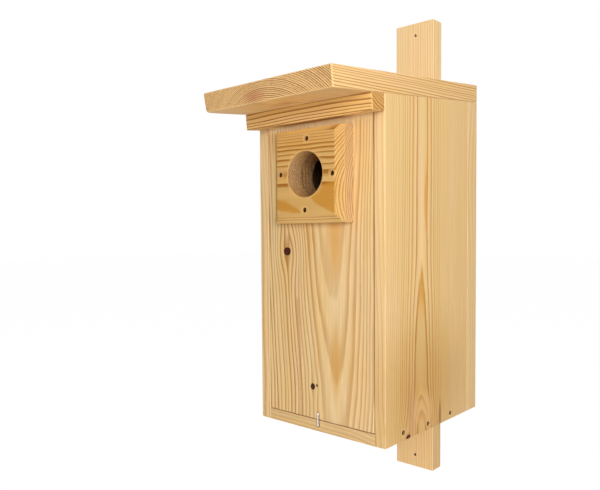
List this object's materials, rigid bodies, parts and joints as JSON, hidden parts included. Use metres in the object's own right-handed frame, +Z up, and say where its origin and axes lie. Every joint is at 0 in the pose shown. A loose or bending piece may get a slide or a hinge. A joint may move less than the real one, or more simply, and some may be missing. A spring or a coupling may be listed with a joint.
{
  "type": "timber nest box on a hanging rail",
  "caption": "Tall pine nest box for garden birds with a sloping roof, a round entrance in a bevelled guard plate, a front that tilts open and a long rail behind for hanging.",
  "frame": {"origin": "on the rear face of the hanging rail, at the middle of its length and width, where a tree or wall holds the box", "axes": "+X to the box's right seen from the front, +Y backwards out of the hanging rail's rear face, +Z up along the hanging rail"},
  "size_m": [0.18, 0.3112, 0.602],
  "materials": {
    "pine_walls": "planed bare pine, upright grain",
    "pine_panel": "planed bare pine, strong cathedral grain",
    "pine_plate": "planed bare pine, level grain and sawn bevels",
    "pine_roof": "planed bare pine, end grain in front",
    "pine_rails": "planed bare pine battens",
    "screws": "dark countersunk screws",
    "wire": "bright galvanized wire"
  },
  "bodies": {
    "box": {"left_side_wall": "pine_walls", "right_side_wall": "pine_walls", "back_board": "pine_walls", "floor_board": "pine_walls", "front_rail": "pine_rails", "roof_board": "pine_roof", "hanging_rail": "pine_rails", "floor_screw_left_1": "screws", "floor_screw_left_2": "screws", "floor_screw_left_3": "screws", "floor_screw_right_1": "screws", "floor_screw_right_2": "screws", "floor_screw_right_3": "screws", "back_screw_left_1": "screws", "back_screw_left_2": "screws", "back_screw_left_3": "screws", "back_screw_right_1": "screws", "back_screw_right_2": "screws", "back_screw_right_3": "screws", "roof_screw_left_1": "screws", "roof_screw_left_2": "screws", "roof_screw_right_1": "screws", "roof_screw_right_2": "screws", "rail_screw_left": "screws", "rail_screw_right": "screws", "hanger_screw_1": "screws", "hanger_screw_2": "screws"},
    "front": {"front_panel": "pine_panel", "entrance_plate": "pine_plate", "wire_catch": "wire", "plate_screw_top": "screws", "plate_screw_left": "screws", "plate_screw_right": "screws", "plate_screw_bottom": "screws"}
  },
  "joints": [
    {"name": "front_tilt", "type": "hinge", "parent": "box", "child": "front", "pos_m": [0, -0.2255, 0.14541], "axis": [-1, 0, 0], "range_deg": [0, 15]}
  ]
}
